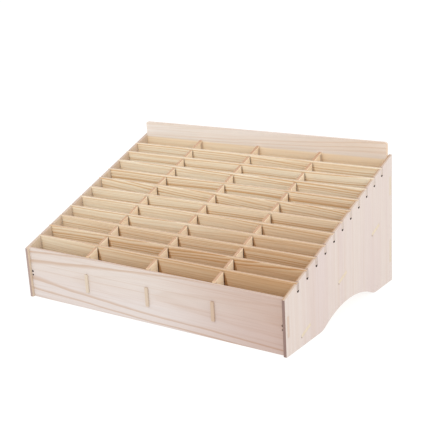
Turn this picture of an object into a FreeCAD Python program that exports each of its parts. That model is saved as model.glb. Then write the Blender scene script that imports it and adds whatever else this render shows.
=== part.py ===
import FreeCAD, Part
import math
import os

# Slot-together wooden rack: sloped sides, front and back panels, a sloped base,
# three long dividers and eleven cross dividers that drop in from above.
# Millimetres. X is left to right, Y runs back from the front edge, Z is up.

V = FreeCAD.Vector

# ---- driving dimensions -------------------------------------------------
WIDTH = 390.0            # over the outer faces of the two sides
DEPTH = 265.0            # front edge to back edge of a side
BOARD = 4.0              # every board's thickness
SIDE_FRONT_H = 66.5      # side's height at its front edge
SIDE_BACK_H = 166.5      # side's height at its back edge

SET_BACK = 3.5           # both panels stand this far inside the sides' upright edges
FRONT_H = 67.0           # front panel's height
BACK_H = 182.7           # back panel's height
BACK_CORNER_R = 3.0      # rounding of its two top corners

ROWS = 11                # cross dividers
ROW_START = 28.0         # first cross divider's centre
ROW_PITCH = 20.8
COLUMN_X = (-93.5, 2.0, 97.5)   # long dividers' centres
LONG_DROP = 0.8          # their top edges lie this far under the slope line

SLOT_GAP = 0.25          # clearance each side of an ear in its slot
END_GAP = 0.3            # cross divider's body to each side's inner face
EAR_DEPTH = 8.7          # cross divider's ear, under the slope line
SLOT_FLOOR = 0.3         # the slot in a side goes this much deeper than the ear
RELIEF_R = 2.2           # round end of each slot in a side
LAP_DEPTH = 33.0         # half-lap level, under the slope line
LAP_GAP = 0.2            # clearance above and below the half-lap level
LAP_SIDE_GAP = 1.2       # clearance each side of a board in a half-lap

BASE_OFFSET = -0.3       # base board's centre line where it meets Y = 0
BASE_TENON_Y = (33.0, 120.5, 208.0)   # front ends of its three tenons
BASE_TENON_L = 20.0
TENON_GAP = 0.1          # clearance round a tenon in its mortise

FRONT_TENON_Z = (22.0, 46.5)
FRONT_TAB_Z = (22.6, 46.3)
BACK_TENONS_Z = ((26.0, 56.0), (115.0, 139.0))
BACK_TAB_Z = (118.0, 142.5)
TAB_PROUD = 2.0          # long dividers' tabs stand out of the panels

ARCH_Y = (81.0, 212.0)   # cut-out under each side
ARCH_H = 17.0
ARCH_FILLET = 28.0
EASE = 0.4               # softened long edges
CORNER_RELIEF_R = 1.2    # cutter relief at a base mortise's lower front corner
CORNER_IN = 0.4          # its centre, back from the corner
CORNER_UP = 1.0          # and up from the base board's lower face
PIN_HOLES = ((35.0, 1.5), (30.2, 1.2))   # height and radius of the small holes at
PIN_HOLE_INSET = 1.9     # each end of the front panel, and how far in they are
FLOOR_GAP = 0.25         # cross divider's lower edge above the base board
REACH = 1.0              # cutters run this far past the faces they cut
CLEAR_ABOVE = 20.0       # slot cutters run this far above the slope line

# ---- derived ------------------------------------------------------------
HALF_W = WIDTH / 2.0
INNER_X = HALF_W - BOARD
FRONT_Y = SET_BACK                      # front panel's outer face
BACK_Y = DEPTH - SET_BACK - BOARD       # back panel's inner face
SLOPE = (SIDE_BACK_H - SIDE_FRONT_H) / DEPTH
BASE_HALF_V = BOARD / 2.0 * math.sqrt(1.0 + SLOPE ** 2)
ROW_Y = [ROW_START + ROW_PITCH * i for i in range(ROWS)]


def slope_z(y):
    """Height of the sides' sloped edge at depth y."""
    return SIDE_FRONT_H + SLOPE * y


def base_z(y, side):
    """Base board's top (side = 1) or bottom (side = -1) at depth y."""
    return SLOPE * y + BASE_OFFSET + side * BASE_HALF_V


def near(a, b):
    """True where two lengths are the same, bar rounding."""
    return abs(a - b) < 1e-6


def box(x0, x1, y0, y1, z0, z1):
    return Part.makeBox(x1 - x0, y1 - y0, z1 - z0, V(x0, y0, z0))


def yz_board(points, x0, x1):
    """Board with a side-view outline, extruded from x0 to x1."""
    loop = [V(x0, y, z) for y, z in points]
    wire = Part.makePolygon(loop + loop[:1])
    return Part.Face(wire).extrude(V(x1 - x0, 0, 0))


def x_rod(x0, x1, y, z, r):
    return Part.makeCylinder(r, x1 - x0, V(x0, y, z), V(1, 0, 0))


def eased(solid, picks, radius=EASE):
    """Round the edges whose both ends satisfy one of the picks."""
    edges = [e for e in solid.Edges
             if any(all(pick(v.Point) for v in e.Vertexes) for pick in picks)
             and len(e.Vertexes) == 2 and e.Length > 3 * radius]
    return solid.makeFillet(radius, edges)


def save(node, shape):
    shape = shape.removeSplitter()
    solid = shape.Solids[0] if len(shape.Solids) == 1 else shape
    solid.translate(V(0, -DEPTH / 2.0, 0))
    solid.exportStep("parts/%s.step" % node)
    print(node, "solids", len(shape.Solids), "valid", shape.isValid(),
          "cm3 %.2f" % (shape.Volume / 1000.0))


def side_outline(x0, x1):
    """Side panel's outline with the arch cut out and its ends filleted."""
    a0, a1 = ARCH_Y
    mid, half = (a0 + a1) / 2.0, (a1 - a0) / 2.0
    panel = yz_board([(0, 0), (DEPTH, 0), (DEPTH, SIDE_BACK_H), (0, SIDE_FRONT_H)],
                     x0, x1)
    radius = (half ** 2 + ARCH_H ** 2) / (2.0 * ARCH_H)
    panel = panel.cut(x_rod(x0 - REACH, x1 + REACH, mid, ARCH_H - radius, radius))
    ends = [e for e in panel.Edges if len(e.Vertexes) == 2
            and all(near(v.Z, 0) for v in e.Vertexes)
            and any(all(near(v.Y, a) for v in e.Vertexes) for a in ARCH_Y)]
    panel = panel.makeFillet(ARCH_FILLET, ends)
    return eased(panel, [lambda p: near(p.z, slope_z(p.y)),
                         lambda p: near(p.y, 0),
                         lambda p: near(p.y, DEPTH)])


def base_strip(y0, y1, x0, x1, grow=0.0):
    """Piece of the base board between two depths, its ends square to its slope."""
    run = math.sqrt(1.0 + SLOPE ** 2)
    half = BASE_HALF_V + grow * run
    lean, rise = SLOPE * half / run ** 2, half / run ** 2
    c0, c1 = SLOPE * y0 + BASE_OFFSET, SLOPE * y1 + BASE_OFFSET
    return yz_board([(y0 + lean, c0 - rise), (y1 + lean, c1 - rise),
                     (y1 - lean, c1 + rise), (y0 - lean, c0 + rise)], x0, x1)


def side(sign):
    """Side panel: slots for the cross dividers, mortises for panels and base."""
    x0, x1 = (INNER_X, HALF_W) if sign > 0 else (-HALF_W, -INNER_X)
    panel = side_outline(x0, x1)
    a, b = x0 - REACH, x1 + REACH
    cuts = []
    w = BOARD / 2.0 + SLOT_GAP
    for y in ROW_Y:
        floor = slope_z(y) - EAR_DEPTH - SLOT_FLOOR
        cuts.append(box(a, b, y - w, y + w, floor, slope_z(y) + CLEAR_ABOVE))
        cuts.append(x_rod(a, b, y, floor, RELIEF_R))
    g = TENON_GAP
    z0, z1 = FRONT_TENON_Z
    cuts.append(box(a, b, FRONT_Y - g, FRONT_Y + BOARD + g, z0 - g, z1 + g))
    for z0, z1 in BACK_TENONS_Z:
        cuts.append(box(a, b, BACK_Y - g, BACK_Y + BOARD + g, z0 - g, z1 + g))
    for y in BASE_TENON_Y:
        cuts.append(base_strip(y - g, y + BASE_TENON_L + g, a, b, g))
        cuts.append(x_rod(a, b, y + CORNER_IN, base_z(y, -1) + CORNER_UP,
                          CORNER_RELIEF_R))
    return panel.cut(cuts)


def tab_slots(y0, y1, z_range):
    """Cutters for the long dividers' tabs in a panel between two depths."""
    w = BOARD / 2.0 + TENON_GAP
    z0, z1 = z_range
    return [box(x - w, x + w, y0 - REACH, y1 + REACH, z0 - TENON_GAP, z1 + TENON_GAP)
            for x in COLUMN_X]


def front_panel():
    y0, y1 = FRONT_Y, FRONT_Y + BOARD
    panel = box(-INNER_X, INNER_X, y0, y1, 0, FRONT_H)
    panel = eased(panel, [lambda p: near(p.z, FRONT_H), lambda p: near(p.z, 0)])
    panel = panel.fuse(box(-HALF_W, HALF_W, y0, y1, *FRONT_TENON_Z))
    cuts = tab_slots(y0, y1, FRONT_TAB_Z)
    hole_x = INNER_X - PIN_HOLE_INSET
    cuts += [Part.makeCylinder(radius, BOARD + 2 * REACH, V(x, y0 - REACH, z),
                               V(0, 1, 0))
             for x in (-hole_x, hole_x) for z, radius in PIN_HOLES]
    return panel.cut(cuts)


def back_panel():
    y0, y1 = BACK_Y, BACK_Y + BOARD
    panel = box(-INNER_X, INNER_X, y0, y1, 0, BACK_H)
    corners = [e for e in panel.Edges if len(e.Vertexes) == 2
               and all(near(v.Z, BACK_H) for v in e.Vertexes)
               and near(e.Vertexes[0].X, e.Vertexes[1].X)]
    panel = panel.makeFillet(BACK_CORNER_R, corners)
    for z0, z1 in BACK_TENONS_Z:
        panel = panel.fuse(box(-HALF_W, HALF_W, y0, y1, z0, z1))
    return panel.cut(tab_slots(y0, y1, BACK_TAB_Z))


def base_board():
    y0, y1 = FRONT_Y + BOARD, BACK_Y
    board = yz_board([(y0, base_z(y0, -1)), (y1, base_z(y1, -1)),
                      (y1, base_z(y1, 1)), (y0, base_z(y0, 1))], -INNER_X, INNER_X)
    for y in BASE_TENON_Y:
        board = board.fuse(base_strip(y, y + BASE_TENON_L, -HALF_W, HALF_W))
    return board


def long_divider(x):
    """Divider that runs front to back: tabs at both ends, slots from above."""
    y0, y1 = FRONT_Y + BOARD, BACK_Y
    a, b = x - BOARD / 2.0, x + BOARD / 2.0
    board = yz_board([(y0, base_z(y0, 1)), (y1, base_z(y1, 1)),
                      (y1, slope_z(y1) - LONG_DROP), (y0, slope_z(y0) - LONG_DROP)], a, b)
    board = eased(board, [lambda p: near(p.z, slope_z(p.y) - LONG_DROP)])
    board = board.fuse(box(a, b, FRONT_Y - TAB_PROUD, y0 + REACH, *FRONT_TAB_Z))
    board = board.fuse(box(a, b, y1 - REACH, y1 + BOARD + TAB_PROUD, *BACK_TAB_Z))
    w = BOARD / 2.0 + LAP_SIDE_GAP
    return board.cut([box(a - REACH, b + REACH, y - w, y + w,
                          slope_z(y) - LAP_DEPTH - LAP_GAP, slope_z(y) + CLEAR_ABOVE)
                      for y in ROW_Y])


def cross_divider(y):
    """Divider that runs left to right: an ear at each end, slots from below."""
    y0, y1 = y - BOARD / 2.0, y + BOARD / 2.0
    top, bottom = slope_z(y), base_z(y1, 1) + FLOOR_GAP
    reach_x = INNER_X - END_GAP
    body = box(-reach_x, reach_x, y0, y1, bottom, top)
    body = body.fuse(box(-HALF_W, HALF_W, y0, y1, top - EAR_DEPTH, top))
    body = eased(body.removeSplitter(), [lambda p: near(p.z, top)])
    w = BOARD / 2.0 + LAP_SIDE_GAP
    return body.cut([box(x - w, x + w, y0 - REACH, y1 + REACH, bottom - REACH,
                         top - LAP_DEPTH + LAP_GAP) for x in COLUMN_X])


os.makedirs("parts", exist_ok=True)
save("left_side", side(-1))
save("right_side", side(1))
save("front_panel", front_panel())
save("back_panel", back_panel())
save("base_board", base_board())
for label, x in zip(("left", "middle", "right"), COLUMN_X):
    save("long_divider_%s" % label, long_divider(x))
for i, y in enumerate(ROW_Y, 1):
    save("cross_divider_%02d" % i, cross_divider(y))
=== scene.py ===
import math

import bpy
import numpy as np
from mathutils import Matrix, Vector


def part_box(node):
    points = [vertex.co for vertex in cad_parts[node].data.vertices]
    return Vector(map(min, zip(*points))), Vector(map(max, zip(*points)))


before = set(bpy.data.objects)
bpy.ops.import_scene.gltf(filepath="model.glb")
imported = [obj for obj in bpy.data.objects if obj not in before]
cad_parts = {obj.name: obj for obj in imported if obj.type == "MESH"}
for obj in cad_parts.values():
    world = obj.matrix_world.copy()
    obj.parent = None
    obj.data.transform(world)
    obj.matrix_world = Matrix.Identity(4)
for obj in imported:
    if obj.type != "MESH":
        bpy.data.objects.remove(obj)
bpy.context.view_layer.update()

# Rack proportions that the finishes follow, in metres
FRONT_EDGE = -0.1325          # front edge of the sides
SLOPE_RISE = 100.0 / 265.0    # the sides' sloped edge climbs this much per metre
SLOPE_FRONT = 0.0665          # its height at the front edge
INNER_FACE = 0.191            # inner faces of the sides, left and right
PANEL_FACE = -0.129           # front panel's outer face
FIRST_ROW = -0.1045           # first cross divider's centre
ROW_PITCH = 0.0208
ROWS = 11
COLUMNS = (-0.0935, 0.002, 0.0975)   # long dividers' centres
HALF_BOARD = 0.002
SLOT_HALF = 0.0032            # half the width of a long divider's slot
LONG_DROP = 0.0008            # long dividers' tops lie this far under the slope
TENON_SHOWS = (INNER_FACE + 0.003, INNER_FACE + 0.0035)   # a tenon's end begins here
HOLE_INSET = (0.0001, 0.0028)        # painted-shade stretch in from the front panel's ends
HOLE_HEIGHTS = (0.0285, 0.0367)      # and up from the desk

# Camera, in degrees, metres and millimetres of lens
VIEW_ANGLES = (36.004, 16.802, -3.298)      # azimuth, elevation, turn of the wrist
VIEW_TARGET = (-0.06645, 0.11089, 0.05982)
VIEW_DISTANCE = 1.34466
VIEW_LENS = 79.633

# Studio
KEY_PLACE, KEY_AIM, KEY_WATTS = (-0.62, -1.75, 1.80), (0.0, 0.0, 0.08), 13.0
FILL_PLACE, FILL_AIM, FILL_WATTS = (1.9, -0.1, 0.9), (0.1, 0.0, 0.08), 13.0
DESK_GREY = (0.20, 0.20, 0.20, 1.0)
DESK_GLOW = 0.86
WHITE = (1.0, 1.0, 1.0, 1.0)


# ---------------------------------------------------------------- camera
def desk_view():
    """Camera on a sphere round a point by the rack's left end: azimuth to the
    right of the front, elevation above the desk, then a small turn of the wrist."""
    azimuth, elevation, wrist = (math.radians(a) for a in VIEW_ANGLES)
    back = Vector((math.sin(azimuth) * math.cos(elevation),
                   -math.cos(azimuth) * math.cos(elevation), math.sin(elevation)))
    level = Vector((math.cos(azimuth), math.sin(azimuth), 0.0))
    rise = back.cross(level)
    right = math.cos(wrist) * level + math.sin(wrist) * rise
    up = back.cross(right)
    lens = bpy.data.cameras.new("rack_camera")
    lens.sensor_width, lens.lens = 36.0, VIEW_LENS
    lens.clip_end = 50.0
    camera = bpy.data.objects.new("rack_camera", lens)
    bpy.context.scene.collection.objects.link(camera)
    turn = Matrix((right, up, back)).transposed()
    stand = Vector(VIEW_TARGET) + back * VIEW_DISTANCE
    camera.matrix_world = Matrix.Translation(stand) @ turn.to_4x4()
    bpy.context.scene.camera = camera


# ---------------------------------------------------------------- lights
def softbox(name, place, aim, width, height, watts):
    """White rectangular lamp at a place, facing the spot it is aimed at."""
    light = bpy.data.lights.new(name, "AREA")
    light.shape, light.size, light.size_y = "RECTANGLE", width, height
    light.energy = watts
    lamp = bpy.data.objects.new(name, light)
    lamp.location = place
    towards = Vector(aim) - Vector(place)
    lamp.rotation_euler = towards.to_track_quat("-Z", "Y").to_euler()
    bpy.context.scene.collection.objects.link(lamp)


def studio():
    """White room light, a small key lamp in front and a broad fill on the right."""
    world = bpy.data.worlds.new("white_room")
    world.use_nodes = True
    wall = world.node_tree.nodes["Background"]
    wall.inputs["Color"].default_value = WHITE
    wall.inputs["Strength"].default_value = 1.0
    bpy.context.scene.world = world
    softbox("key_front", KEY_PLACE, KEY_AIM, 0.45, 0.45, KEY_WATTS)
    softbox("fill_right", FILL_PLACE, FILL_AIM, 1.2, 1.0, FILL_WATTS)
    bpy.context.scene.view_settings.view_transform = "Standard"
    bpy.context.scene.view_settings.look = "None"


def desk():
    """Round desk top: rings of points at growing radii, each ring a full circle."""
    radii = np.array([0.5, 1.5, 4.0, 9.0])
    spokes = 96
    turn = np.linspace(0.0, 2.0 * np.pi, spokes, endpoint=False)
    ring = np.stack([np.cos(turn), np.sin(turn), np.zeros_like(turn)], axis=1)
    points = np.concatenate([[[0.0, 0.0, 0.0]]] + [ring * r for r in radii])
    here = np.arange(spokes)
    after = (here + 1) % spokes
    faces = [(0, 1 + a, 1 + b) for a, b in zip(here.tolist(), after.tolist())]
    for k in range(len(radii) - 1):
        low, high = 1 + spokes * k, 1 + spokes * (k + 1)
        faces += np.stack([low + here, high + here, high + after, low + after],
                          axis=1).tolist()
    mesh = bpy.data.meshes.new("desk_top")
    mesh.from_pydata(points.tolist(), [], faces)
    top = bpy.data.objects.new("desk_top", mesh)
    bpy.context.scene.collection.objects.link(top)
    paint = bpy.data.materials.new("white_desk")
    paint.use_nodes = True
    coat = paint.node_tree.nodes["Principled BSDF"]
    coat.inputs["Base Color"].default_value = DESK_GREY
    coat.inputs["Roughness"].default_value = 0.9
    coat.inputs["Specular IOR Level"].default_value = 0.0
    coat.inputs["Emission Color"].default_value = WHITE
    coat.inputs["Emission Strength"].default_value = DESK_GLOW
    mesh.materials.append(paint)


# ---------------------------------------------------------------- timber
class Finish:
    """A material being mixed: numbers and sockets go in, sockets come out."""

    def __init__(self, name):
        self.material = bpy.data.materials.new(name)
        self.material.use_nodes = True
        self.tree = self.material.node_tree
        self.surface = self.tree.nodes["Principled BSDF"]

    def node(self, kind, **settings):
        made = self.tree.nodes.new(kind)
        for key, value in settings.items():
            setattr(made, key, value)
        return made

    def feed(self, socket, value):
        if isinstance(value, bpy.types.NodeSocket):
            self.tree.links.new(value, socket)
        else:
            socket.default_value = value

    def sum(self, operation, *values):
        made = self.node("ShaderNodeMath", operation=operation)
        for socket, value in zip(made.inputs, values):
            self.feed(socket, value)
        return made.outputs[0]

    def times(self, *values):
        total = values[0]
        for value in values[1:]:
            total = self.sum("MULTIPLY", total, value)
        return total

    def ease(self, value, low, high, start=0.0, end=1.0):
        """Smooth step: start below low, end above high."""
        made = self.node("ShaderNodeMapRange", interpolation_type="SMOOTHSTEP")
        for key, number in (("Value", value), ("From Min", low), ("From Max", high),
                            ("To Min", start), ("To Max", end)):
            self.feed(made.inputs[key], number)
        return made.outputs["Result"]

    def band(self, value, low, high, soft):
        """One between low and high, easing to nothing over soft outside them."""
        return self.times(self.ease(value, low - soft, low),
                          self.ease(value, high + soft, high))

    def point(self, x, y, z):
        made = self.node("ShaderNodeCombineXYZ")
        for socket, value in zip(made.inputs, (x, y, z)):
            self.feed(socket, value)
        return made.outputs[0]

    def cloud(self, where, detail=2.0, roughness=0.5):
        made = self.node("ShaderNodeTexNoise", noise_dimensions="3D")
        self.feed(made.inputs["Vector"], where)
        made.inputs["Scale"].default_value = 1.0
        made.inputs["Detail"].default_value = detail
        made.inputs["Roughness"].default_value = roughness
        return made.outputs["Fac"]

    def blend(self, share, a, b, way="MIX"):
        made = self.node("ShaderNodeMix", data_type="RGBA", blend_type=way)
        for socket, value in ((made.inputs[0], share), (made.inputs[6], a),
                              (made.inputs[7], b)):
            if isinstance(value, tuple):
                value = (*value, 1.0)
            self.feed(socket, value)
        return made.outputs[2]

    def tint(self, share, colour, by):
        return self.blend(share, colour, by, "MULTIPLY")


# Finish colours, linear. Each timber: early wood, a second tone of it, late wood
OUTSIDE = ((0.60, 0.52, 0.475), (0.58, 0.49, 0.46), (0.52, 0.395, 0.32))
PANEL = ((0.67, 0.605, 0.575), (0.66, 0.585, 0.55), (0.53, 0.38, 0.285))
RAISED = ((0.80, 0.75, 0.71), (0.79, 0.72, 0.655), (0.65, 0.48, 0.34))
CELLS = ((0.88, 0.785, 0.615), (0.87, 0.74, 0.555), (0.66, 0.41, 0.20))
LONGS = ((0.87, 0.73, 0.55), (0.86, 0.70, 0.51), (0.72, 0.49, 0.29))

CUT_EDGE = (0.90, 0.83, 0.80)       # sawn long edges take this much of the colour
END_GRAIN = (0.92, 0.84, 0.74)
UPPER_FRONT = (0.985, 0.965, 0.93)  # upper half of the front panel, above the painted desk bounce
INSIDE_WARMTH = (1.10, 1.04, 0.86)  # faces of the sides and panels towards the cells
FRONT_SHADE = (0.78, 0.65, 0.60)    # painted shade on the front panel towards its right end
RAISED_SHADE = (0.90, 0.82, 0.75)   # painted shade on the back panel towards its right end
CELL_SHADE = (0.72, 0.55, 0.41)     # painted shade on the front rows towards their right ends
INNER_EDGE = (0.82, 0.67, 0.52)     # inner half of the right side's sloping top
EAR_END = (0.72, 0.70, 0.70)        # ears' ends, against the sides' outer faces
CELL_YELLOW = (1.12, 1.03, 0.83)    # back panel's wood inside the cells
SAWN_TOP = (0.665, 0.565, 0.465)    # the cross dividers' tops
TOP_SHADE = (0.84, 0.74, 0.67)      # painted shade on the tops, most on the front rows
LONG_TOP = (0.68, 0.57, 0.53)       # the long dividers' sloping tops
IN_SLOT_PAINTED_SHADE = (0.34, 0.19, 0.08)       # painted shade on a cross divider inside a slot
WEDGE_PAINTED_SHADOW = (0.62, 0.40, 0.20)  # painted shadow to the right of it
TAB_PALE = (0.60, 0.52, 0.43)       # tabs that stand out of the front panel
TENON_PALE = (0.575, 0.50, 0.395)   # ends of the base's and back panel's tenons
TENON_TAN = (0.58, 0.46, 0.38)      # ends of the front panel's tenons
DARK_EDGE_AND_SHADE = (0.20, 0.115, 0.095)         # dark brown upright edges, and painted shade beside the slots
# painted deep shade in slots, holes and the cross dividers' hidden ends
PAINTED_DEEP_SHADE = (0.05, 0.032, 0.025)

AXES = {"X": 0, "Y": 1, "Z": 2}


class Board:
    """What a board's own touches need: its finish so far, where each spot is in
    metres, and how far each face looks along X, Y and Z."""

    def __init__(self, finish, place):
        self.finish, self.place = finish, place
        normal = finish.node("ShaderNodeSeparateXYZ")
        coords = finish.node("ShaderNodeTexCoord")
        finish.feed(normal.inputs[0], coords.outputs["Normal"])
        self.facing = normal.outputs
        self.looks = {a: finish.sum("ABSOLUTE", self.facing[AXES[a]]) for a in AXES}

    def flat(self, axis):
        """One on faces that look along an axis, either way."""
        return self.finish.ease(self.looks[axis], 0.75, 0.85)

    def edgewise(self, axis):
        """One on faces that look across an axis."""
        return self.finish.ease(self.looks[axis], 0.6, 0.4)

    def below_slope(self):
        f = self.finish
        run = f.sum("SUBTRACT", self.place[1], FRONT_EDGE)
        line = f.sum("ADD", f.times(run, SLOPE_RISE), SLOPE_FRONT)
        return f.sum("SUBTRACT", line, self.place[2])


def pine(node, along, through, seed, timber, ring=3.4, pith=34.0, lean=0.04,
         centre=0.0, strength=1.0, streak=1.0, fine=0.30, thin=0.25, wave=1.0,
         touches=()):
    """Plain-sawn pine as a solid pattern. Growth rings are cylinders round a pith
    that runs almost along the grain: the ring number is the distance from the
    pith line, (across - centre, depth + pith + lean * run), over the ring width,
    bent by slow noise, so its cuts through a board's face are long arches.
    Each ring darkens slowly from early to late wood and ends sharply. Lengths
    here are in millimetres from the board's middle."""
    early, second, late_wood = timber
    f = Finish("pine_" + node)
    low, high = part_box(node)
    mid = [(a + b) / 2.0 for a, b in zip(low, high)]
    across = ({"X", "Y", "Z"} - {along, through}).pop()
    parts = f.node("ShaderNodeSeparateXYZ")
    f.feed(parts.inputs[0], f.node("ShaderNodeTexCoord").outputs["Object"])
    place = parts.outputs

    def axis_mm(axis):
        gap = f.sum("SUBTRACT", place[AXES[axis]], mid[AXES[axis]])
        return f.times(gap, 1000.0)

    u, v, w = axis_mm(along), axis_mm(across), axis_mm(through)

    def cloud(per_u, per_v, per_w, salt, detail=2.0, roughness=0.5):
        """Noise with a given number of turns per millimetre each way."""
        third = f.sum("ADD", f.times(w, per_w), seed * salt)
        return f.cloud(f.point(f.times(u, per_u), f.times(v, per_v), third), detail,
                       roughness)

    drift = f.sum("SUBTRACT", cloud(0.004, 0.012, 0.012, 7.31, 1.5), 0.5)
    waver = f.sum("SUBTRACT", cloud(0.018, 0.07, 0.0, 3.17), 0.5)
    side = f.sum("ADD", f.sum("SUBTRACT", v, centre), f.times(drift, 12.0 * wave))
    depth = f.sum("ADD", f.sum("ADD", w, pith),
                  f.sum("ADD", f.times(u, lean), f.times(waver, 2.2 * wave)))
    radius = f.sum("SQRT", f.sum("ADD", f.times(side, side), f.times(depth, depth)))
    # rings vary in width: a slow noise of the radius shifts them
    uneven = f.cloud(f.point(f.times(radius, 0.11), seed * 1.7, 4.0), 1.0)
    count = f.sum("ADD", f.sum("DIVIDE", radius, ring), f.times(uneven, 2.6))
    share = f.sum("FRACT", count)
    number = f.sum("FLOOR", count)
    late = f.times(f.ease(share, thin, 0.86), f.ease(share, 1.0, 0.90))
    boldness = f.cloud(f.point(f.times(number, 0.73), seed * 5.3, 1.5), 0.0)
    late = f.times(late, f.ease(boldness, 0.30, 0.70, 0.12, 1.0))
    # fibres, and broader streaks that run nearly the board's length
    fibre = cloud(0.03, 1.3, 1.3, 2.9, 3.0, 0.6)
    streaks = cloud(0.0035, fine, fine, 6.7, 2.5, 0.62)
    broad = cloud(0.004, 0.045, 0.0, 9.1, 1.5)
    ground = f.blend(f.ease(broad, 0.36, 0.64), early, second)
    mark = f.times(late, strength, f.ease(fibre, 0.2, 0.8, 0.8, 1.15))
    colour = f.blend(f.sum("MINIMUM", 1.0, mark), ground, late_wood)
    thread = f.times(f.ease(streaks, 0.50, 0.72), 0.42 * streak)
    colour = f.blend(thread, colour, late_wood)
    grey = f.ease(fibre, 0.25, 0.75, 0.965, 1.025)
    colour = f.tint(1.0, colour, f.point(grey, grey, grey))
    board = Board(f, place)
    colour = f.tint(board.flat(along), colour, END_GRAIN)
    colour = f.tint(board.flat(across), colour, CUT_EDGE)
    for touch in touches:
        colour = touch(board, colour)
    f.feed(f.surface.inputs["Base Color"], colour)
    f.feed(f.surface.inputs["Roughness"], f.ease(late, 0.0, 1.0, 0.68, 0.56))
    f.surface.inputs["Specular IOR Level"].default_value = 0.25
    bump = f.node("ShaderNodeBump")
    bump.inputs["Strength"].default_value = 0.20
    bump.inputs["Distance"].default_value = 0.0003
    f.feed(bump.inputs["Height"], f.sum("ADD", f.times(fibre, 0.7), f.times(late, 0.5)))
    f.feed(f.surface.inputs["Normal"], bump.outputs["Normal"])
    return f.material


# ------------------------------------------------ touches on single boards
def warm_inside(axis, sign, share=1.0):
    """The face that looks into the cells is yellower than the outer one."""
    def touch(board, colour):
        f = board.finish
        inward = f.ease(f.times(board.facing[AXES[axis]], sign), 0.5, 0.8)
        return f.tint(f.times(inward, share), colour, INSIDE_WARMTH)
    return touch


def warm_inner_edge(board, colour):
    """Right side: the inner half of its sloping top is as brown as the cells."""
    f = board.finish
    upward = f.ease(board.facing[2], 0.6, 0.85)
    inner = f.ease(board.place[0], INNER_FACE + 0.0024, INNER_FACE + 0.0008)
    return f.tint(f.times(upward, inner), colour, INNER_EDGE)


def dark_upright_edges(share):
    """A side's two upright edges are drawn dark brown."""
    def touch(board, colour):
        f = board.finish
        y = board.place[1]
        at_edge = f.sum("MAXIMUM", f.ease(y, FRONT_EDGE + 0.0012, FRONT_EDGE + 0.0006),
                        f.ease(y, -FRONT_EDGE - 0.0012, -FRONT_EDGE - 0.0006))
        return f.blend(f.times(board.flat("Y"), at_edge, share), colour, DARK_EDGE_AND_SHADE)
    return touch


def painted_slot_shade(board, colour):
    """Painted deep shade on a side's slot walls: spots just below the slope,
    between the first and the last row, on faces that don't look sideways."""
    f = board.finish
    reach = f.band(board.below_slope(), 0.0015, 0.0125, 0.0006)
    last_row = FIRST_ROW + (ROWS - 1) * ROW_PITCH
    rows = f.band(board.place[1], FIRST_ROW - 0.004, last_row + 0.004, 0.0005)
    return f.blend(f.times(board.edgewise("X"), reach, rows, 0.92), colour, PAINTED_DEEP_SHADE)


def painted_pin_hole_shade(board, colour):
    """Front panel: painted deep shade on the walls of the small round holes at each end.
    """
    f = board.finish
    inset = f.sum("SUBTRACT", INNER_FACE, f.sum("ABSOLUTE", board.place[0]))
    hole = f.band(inset, *HOLE_INSET, 0.0001)
    span = f.band(board.place[2], *HOLE_HEIGHTS, 0.0005)
    return f.blend(f.times(board.edgewise("Y"), hole, span), colour, PAINTED_DEEP_SHADE)


def shade_painted_rightwards(by, start, share=1.0):
    """Painted shade: the wood is drawn browner from start towards its right end."""
    def touch(board, colour):
        f = board.finish
        less_on_top = f.ease(board.looks["Z"], 0.6, 0.8, 1.0, 0.25)
        rightwards = f.ease(board.place[0], start, 0.21)
        return f.tint(f.times(rightwards, less_on_top, share), colour, by)
    return touch


def painted_desk_bounce(board, colour):
    """Front panel: slightly yellower towards its top, so the lower part is paler with
    painted light bounced from the desk.
    """
    f = board.finish
    return f.tint(f.ease(board.place[2], 0.018, 0.045), colour, UPPER_FRONT)


def yellow_below_slope(board, colour):
    """Back panel: its front face is as yellow as the cells where it walls them."""
    f = board.finish
    forward = f.ease(board.facing[1], -0.5, -0.8)
    inside = f.ease(board.below_slope(), 0.001, 0.004)
    return f.tint(f.times(forward, inside), colour, CELL_YELLOW)


def sawn_top(share):
    """The top of a cross divider: evener than its faces, with painted shade browner on
    the front rows.
    """
    def touch(board, colour):
        f = board.finish
        top = board.flat("Z")
        colour = f.blend(f.times(top, 0.8), colour, SAWN_TOP)
        return f.tint(f.times(top, share), colour, TOP_SHADE)
    return touch


def painted_lap_shade(board, colour):
    """Long dividers: painted deep shade on the slots' rear-facing walls, and painted
    shade a little on to the faces beside them."""
    f = board.finish
    rows_along = f.sum("DIVIDE", f.sum("SUBTRACT", board.place[1], FIRST_ROW), ROW_PITCH)
    off_row = f.sum("ABSOLUTE", f.sum("SUBTRACT", rows_along, f.sum("ROUND", rows_along)))
    reach = f.times(off_row, ROW_PITCH)
    beside = f.ease(reach, SLOT_HALF + 0.0008, SLOT_HALF + 0.0002)
    deep = f.ease(board.below_slope(), LONG_DROP, LONG_DROP + 0.004)
    in_slot = f.ease(reach, SLOT_HALF + 0.0006, SLOT_HALF + 0.0002)
    walls = f.times(f.ease(board.facing[1], 0.5, 0.8), in_slot,
                    f.ease(board.below_slope(), 0.034, 0.033), 0.9)
    colour = f.blend(f.times(beside, deep, 0.45), colour, DARK_EDGE_AND_SHADE)
    return f.blend(walls, colour, PAINTED_DEEP_SHADE)


def browned_top(board, colour):
    """Long dividers: the sloping top edge."""
    upward = board.finish.ease(board.facing[2], 0.6, 0.85)
    return board.finish.tint(upward, colour, LONG_TOP)


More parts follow.
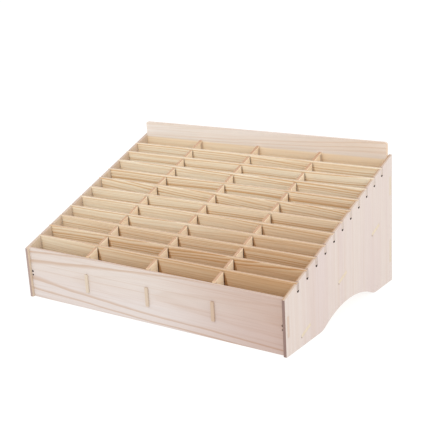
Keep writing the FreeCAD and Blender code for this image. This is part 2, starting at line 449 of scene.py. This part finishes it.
def painted_crossing_shade(share):
    """Cross dividers: painted shade on the strip that stands inside a long divider's
    slot, and a painted shadow that spreads right of it as it goes down."""
    def touch(board, colour):
        f = board.finish
        depth = board.below_slope()
        inside, beside = 0.0, 0.0
        for column in COLUMNS:
            offset = f.sum("SUBTRACT", board.place[0], column)
            here = f.band(offset, -HALF_BOARD, HALF_BOARD, 0.0005)
            spread = f.sum("ADD", f.times(depth, 0.24), HALF_BOARD)
            near = f.times(f.ease(offset, f.sum("ADD", spread, 0.0008), spread),
                           f.ease(offset, 0.0, HALF_BOARD))
            inside = f.sum("MAXIMUM", inside, here)
            beside = f.sum("MAXIMUM", beside, near)
        front, deep = board.flat("Y"), f.ease(depth, 0.0015, 0.0070)
        wedge_shadow = f.times(front, beside, deep, 0.75 * share)
        colour = f.tint(wedge_shadow, colour, WEDGE_PAINTED_SHADOW)
        slit = f.times(front, inside, f.ease(depth, 0.0005, 0.0060), share)
        return f.tint(slit, colour, IN_SLOT_PAINTED_SHADE)
    return touch


def pale_tabs(board, colour):
    """Long dividers: the tabs outside the front panel are as pale as it is, with its
    painted shade towards the right.
    """
    f = board.finish
    outside = f.ease(board.place[1], PANEL_FACE + 0.0006, PANEL_FACE)
    pale = f.tint(f.ease(board.place[0], -0.10, 0.15), TAB_PALE, FRONT_SHADE)
    return f.blend(f.times(outside, 0.8), colour, pale)


def tenon_ends(by):
    """The tenons' ends, outside the sides' inner faces, in a colour of their own."""
    def touch(board, colour):
        f = board.finish
        outside = f.ease(f.sum("ABSOLUTE", board.place[0]), *TENON_SHOWS)
        return f.blend(f.times(outside, 0.8), colour, by)
    return touch


def ear_ends(share):
    """Cross dividers: the ears' ends are like the sides' outer faces, but browner,
    and the body's own ends, hidden by the sides, get painted deep shade."""
    def touch(board, colour):
        f = board.finish
        ends = board.flat("X")
        outer = f.ease(f.sum("ABSOLUTE", board.place[0]), INNER_FACE + 0.001,
                       INNER_FACE + 0.003)
        shown = f.times(ends, outer)
        colour = f.blend(f.times(shown, 0.85), colour, OUTSIDE[0])
        colour = f.tint(f.times(shown, share), colour, EAR_END)
        hidden = f.times(ends, f.sum("SUBTRACT", 1.0, outer))
        return f.blend(hidden, colour, PAINTED_DEEP_SHADE)
    return touch


def dress(node, material):
    """Puts a material in every slot of a node."""
    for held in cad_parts[node].material_slots:
        held.material = material


def dress_rack():
    """A timber and its touches for each of the nineteen boards."""
    dress("left_side", pine(
        "left_side", "Z", "X", 3.0, OUTSIDE, ring=5.2, pith=60, lean=0.02, centre=70,
        strength=0.35, touches=(warm_inside("X", 1), painted_slot_shade,
                                dark_upright_edges(0.40))))
    dress("right_side", pine(
        "right_side", "Z", "X", 5.0, OUTSIDE, ring=5.6, pith=70, lean=-0.02, centre=-60,
        strength=0.20, streak=0.85, fine=0.4,
        touches=(warm_inside("X", -1), warm_inner_edge, painted_slot_shade,
                 dark_upright_edges(0.82))))
    dress("front_panel", pine(
        "front_panel", "X", "Y", 2.0, PANEL, ring=3.4, pith=59.4, lean=-0.022, centre=4,
        strength=0.85, streak=0.8, fine=0.5, thin=0.55, wave=0.6,
        touches=(warm_inside("Y", 1), shade_painted_rightwards(FRONT_SHADE, -0.02),
                 painted_desk_bounce, painted_pin_hole_shade, tenon_ends(TENON_TAN))))
    dress("back_panel", pine(
        "back_panel", "X", "Y", 9.0, RAISED, ring=3.4, pith=46, lean=0.03, centre=110,
        strength=0.75, streak=0.8, fine=0.4, thin=0.5, wave=0.7,
        touches=(shade_painted_rightwards(RAISED_SHADE, -0.19), yellow_below_slope,
                 tenon_ends(TENON_PALE))))
    dress("base_board", pine(
        "base_board", "X", "Z", 7.0, CELLS, ring=4.2, pith=50, lean=0.03,
        touches=(tenon_ends(TENON_PALE),)))
    for k, name in enumerate(("left", "middle", "right")):
        node = "long_divider_" + name
        dress(node, pine(node, "Y", "X", 20.0 + 3 * k, LONGS, ring=4.0, pith=50 + 6 * k,
                         lean=0.03, centre=60 + 10 * k, strength=0.30, streak=0.5,
                         touches=(browned_top, painted_lap_shade, pale_tabs)))
    for k in range(1, ROWS + 1):
        node = "cross_divider_%02d" % k
        # the front rows' boards take the most painted shade, from further left
        start, share = min(-0.34 + 0.06 * (k - 1), -0.05), max(1.12 - 0.10 * k, 0.03)
        dress(node, pine(node, "X", "Y", 40.0 + 1.9 * k, CELLS,
                         ring=1.9 + 0.22 * (k * 5 % 7), pith=20 + 4 * (k * 3 % 8),
                         lean=0.030 * (-1) ** k * (0.4 + (k * 7 % 5) / 5),
                         centre=48.0 + 9 * (k * 4 % 7), strength=1.0, streak=1.2,
                         fine=0.5,
                         touches=(sawn_top(max(1.20 - 0.10 * k, 0.10)),
                                  shade_painted_rightwards(CELL_SHADE, start, share),
                                  painted_crossing_shade(1.07 - 0.07 * k),
                                  ear_ends(min(1.0, max(1.3 - 0.2 * k, 0.45))))))


desk_view()
studio()
desk()
dress_rack()
